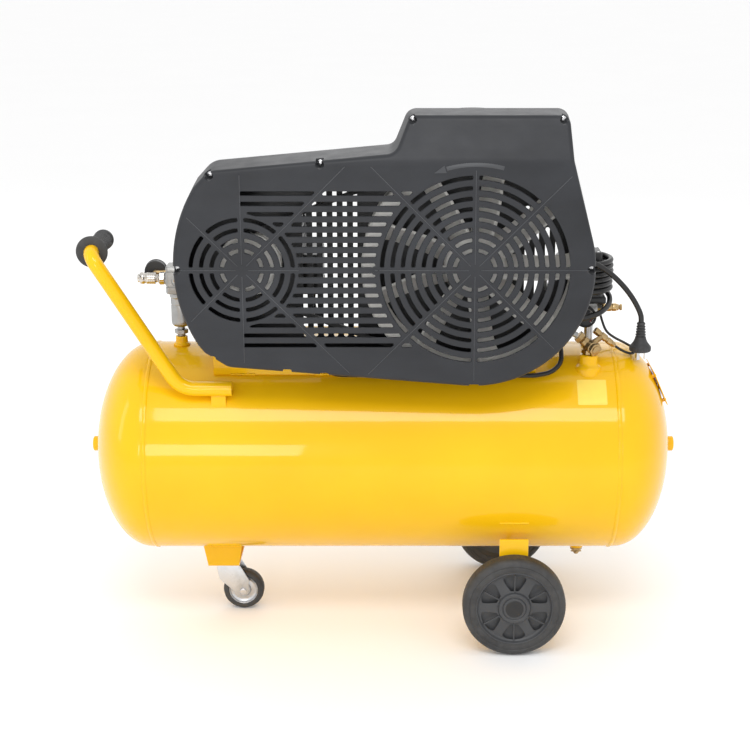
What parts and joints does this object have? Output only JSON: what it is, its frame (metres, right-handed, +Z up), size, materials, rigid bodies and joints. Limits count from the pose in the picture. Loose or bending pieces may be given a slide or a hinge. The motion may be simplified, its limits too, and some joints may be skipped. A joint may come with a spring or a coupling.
{
  "type": "air compressor",
  "caption": "Belt-driven air compressor: motor and piston pump behind a slotted belt guard, on a horizontal receiver with wheels, caster, side handle, regulator and cord.",
  "frame": {"origin": "on the ground under the middle of the receiver", "axes": "+X along the receiver towards the end with the plug, +Y away from the belt guard, +Z up"},
  "size_m": [1.0476, 0.4212, 0.935],
  "materials": {
    "tank_yellow": "gloss paint",
    "guard_plastic": "fine moulded grain",
    "black_plastic": "satin",
    "grey_plastic": "fine moulded grain",
    "black_rubber": "matte",
    "cast_metal": "as cast, painted silver",
    "black_iron": "painted black",
    "alloy": "die cast",
    "zinc_steel": "zinc plated",
    "nickel": "nickel plated",
    "brass": "turned",
    "cord_sheath": "satin",
    "motor_alloy": "painted black"
  },
  "bodies": {
    "frame": {"tank_shell": "tank_yellow", "tank_head_left": "tank_yellow", "tank_head_right": "tank_yellow", "outlet_socket": "tank_yellow", "valve_socket": "tank_yellow", "drain_boss": "tank_yellow", "wheel_bracket_front": "tank_yellow", "wheel_bracket_rear": "tank_yellow", "caster_bracket": "tank_yellow", "platform": "tank_yellow", "handle_tube": "tank_yellow", "guard_front": "guard_plastic", "guard_rear": "black_plastic", "motor_fan_cover": "black_plastic", "air_filter": "black_plastic", "switch_gauge": "black_plastic", "pressure_switch": "black_plastic", "regulator_gauge": "black_plastic", "unloader_tube": "black_plastic", "handle_grip": "black_rubber", "drive_belt": "black_rubber", "plug": "black_rubber", "crankcase": "cast_metal", "cylinder": "black_iron", "motor_body": "motor_alloy", "cylinder_head": "alloy", "manifold": "alloy", "delivery_pipe": "alloy", "outlet_pipe": "alloy", "regulator_body": "alloy", "wheel_axle": "zinc_steel", "caster_plate": "zinc_steel", "switch_post": "zinc_steel", "coupler_body": "nickel", "check_valve": "brass", "unloader_valve": "brass", "safety_valve": "brass", "power_cord_start": "cord_sheath", "power_cord_end": "cord_sheath", "cord_coil": "cord_sheath", "motor_cable": "cord_sheath"},
    "flywheel_set": {"flywheel": "cast_metal", "crankshaft": "zinc_steel"},
    "motor_rotor": {"motor_pulley": "cast_metal", "motor_shaft": "zinc_steel"},
    "wheel_front": {"wheel_tyre_front": "black_rubber", "wheel_rim_front": "grey_plastic"},
    "wheel_rear": {"wheel_tyre_rear": "black_rubber", "wheel_rim_rear": "grey_plastic"},
    "caster_swivel": {"caster_fork": "zinc_steel", "caster_axle": "zinc_steel"},
    "caster_wheel": {"caster_rim": "zinc_steel", "caster_tyre": "black_rubber"},
    "piston_set": {"piston": "alloy"},
    "rod_set": {"connecting_rod": "alloy"},
    "regulator_dial": {"regulator_knob": "black_plastic"},
    "drain_valve": {"drain_cock": "nickel"},
    "switch_button": {"switch_knob": "black_plastic"},
    "safety_stem": {"safety_pull": "brass"},
    "coupler_ring": {"coupler_sleeve": "nickel"}
  },
  "joints": [
    {"name": "flywheel_spin", "type": "hinge", "parent": "frame", "child": "flywheel_set", "pos_m": [0.154, -0.16, 0.684], "axis": [0, 1, 0], "continuous": true},
    {"name": "motor_spin", "type": "hinge", "parent": "frame", "child": "motor_rotor", "pos_m": [-0.217, -0.146, 0.684], "axis": [0, 1, 0], "continuous": true},
    {"name": "piston_slide", "type": "slide", "parent": "frame", "child": "piston_set", "axis": [0, 0, 1], "range_m": [-0.044, 0]},
    {"name": "rod_swing", "type": "hinge", "parent": "piston_set", "child": "rod_set", "pos_m": [0.154, -0.02, 0.796], "axis": [0, 1, 0], "range_deg": [-6, 6]},
    {"name": "wheel_front_spin", "type": "hinge", "parent": "frame", "child": "wheel_front", "pos_m": [0.228, -0.1906, 0.0894], "axis": [0, 1, 0], "continuous": true},
    {"name": "wheel_rear_spin", "type": "hinge", "parent": "frame", "child": "wheel_rear", "pos_m": [0.228, 0.1906, 0.0894], "axis": [0, 1, 0], "continuous": true},
    {"name": "caster_swivel_turn", "type": "hinge", "parent": "frame", "child": "caster_swivel", "pos_m": [-0.288, 0, 0.085], "axis": [0, 0, 1], "continuous": true},
    {"name": "caster_wheel_spin", "type": "hinge", "parent": "caster_swivel", "child": "caster_wheel", "pos_m": [-0.26, 0, 0.0375], "axis": [0, 1, 0], "continuous": true},
    {"name": "regulator_turn", "type": "hinge", "parent": "frame", "child": "regulator_dial", "pos_m": [-0.357, 0.03, 0.62585], "axis": [0, 1, 0], "range_deg": [-150, 150]},
    {"name": "drain_turn", "type": "hinge", "parent": "frame", "child": "drain_valve", "pos_m": [0.355, 0, 0.115], "axis": [0, 0, 1], "range_deg": [0, 180]},
    {"name": "switch_lift", "type": "slide", "parent": "frame", "child": "switch_button", "axis": [0, 0, 1], "range_m": [0, 0.006]},
    {"name": "safety_pull_out", "type": "slide", "parent": "frame", "child": "safety_stem", "axis": [1, 0, 0], "range_m": [0, 0.003], "stiffness_N_per_m": 400},
    {"name": "coupler_release", "type": "slide", "parent": "frame", "child": "coupler_ring", "axis": [1, 0, 0], "range_m": [0, 0.003], "stiffness_N_per_m": 500}
  ],
  "couplings": [
    {"joint": "motor_spin", "follows": "flywheel_spin", "ratio": 3.7958}
  ]
}
